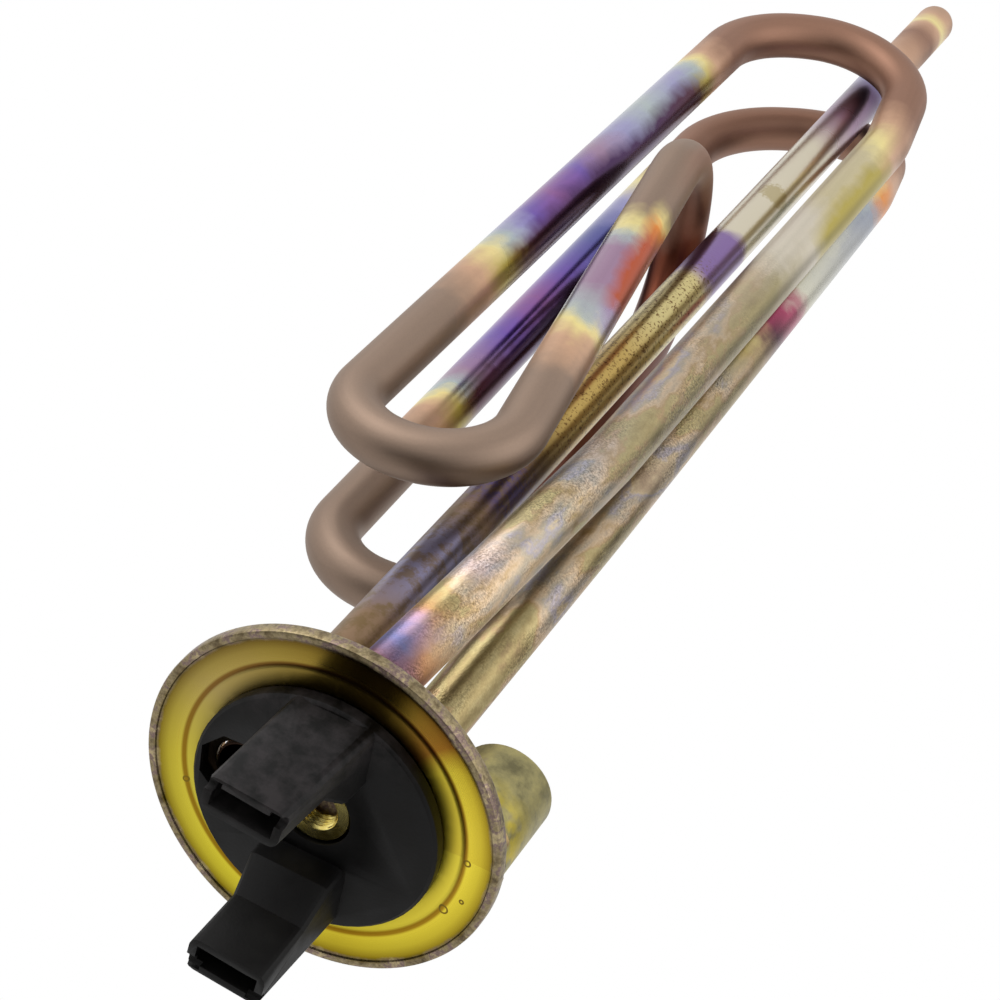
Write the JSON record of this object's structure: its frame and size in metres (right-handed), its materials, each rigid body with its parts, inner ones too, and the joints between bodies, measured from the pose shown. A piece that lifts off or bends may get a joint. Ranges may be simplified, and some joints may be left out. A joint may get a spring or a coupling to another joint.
{
  "type": "water heater element",
  "caption": "Flanged immersion heating element with a bent sheathed tube, a closed thermostat pocket, an anode boss and a moulded terminal base.",
  "frame": {"origin": "centre of the flange's flat tank-side face, which seals on the tank", "axes": "+Z along the tubes into the tank, +X from the flange's centre towards the thermostat pocket, +Y towards the near leg of the heating tube"},
  "size_m": [0.0633, 0.048, 0.2951],
  "materials": {
    "flange_plate": "yellow passivated, polished in the recess",
    "sheath_steel": "matte, heat tinted in bands",
    "pocket_steel": "matte, heat tinted",
    "boss_steel": "olive passivated, matte",
    "pin_steel": "plain",
    "coil_alloy": "dull",
    "magnesia": "pressed powder",
    "bush_ceramic": "unglazed",
    "seal_resin": "cast",
    "tab_metal": "tinned",
    "insert_brass": "turned",
    "braze_metal": "brazed",
    "base_moulding": "moulded, slightly satin"
  },
  "bodies": {
    "root": {"flange": "flange_plate", "heater_sheath": "sheath_steel", "magnesia_fill": "magnesia", "resistance_coil": "coil_alloy", "cold_pin_1": "pin_steel", "cold_pin_2": "pin_steel", "end_seal_1": "seal_resin", "end_seal_2": "seal_resin", "end_bush_1": "bush_ceramic", "end_bush_2": "bush_ceramic", "thermostat_pocket": "pocket_steel", "anode_boss": "boss_steel", "braze_leg_1": "braze_metal", "braze_leg_2": "braze_metal", "braze_pocket": "braze_metal", "braze_boss": "braze_metal", "centre_insert": "insert_brass", "terminal_base": "base_moulding", "terminal_tab_1": "tab_metal", "terminal_tab_2": "tab_metal"}
  },
  "joints": []
}
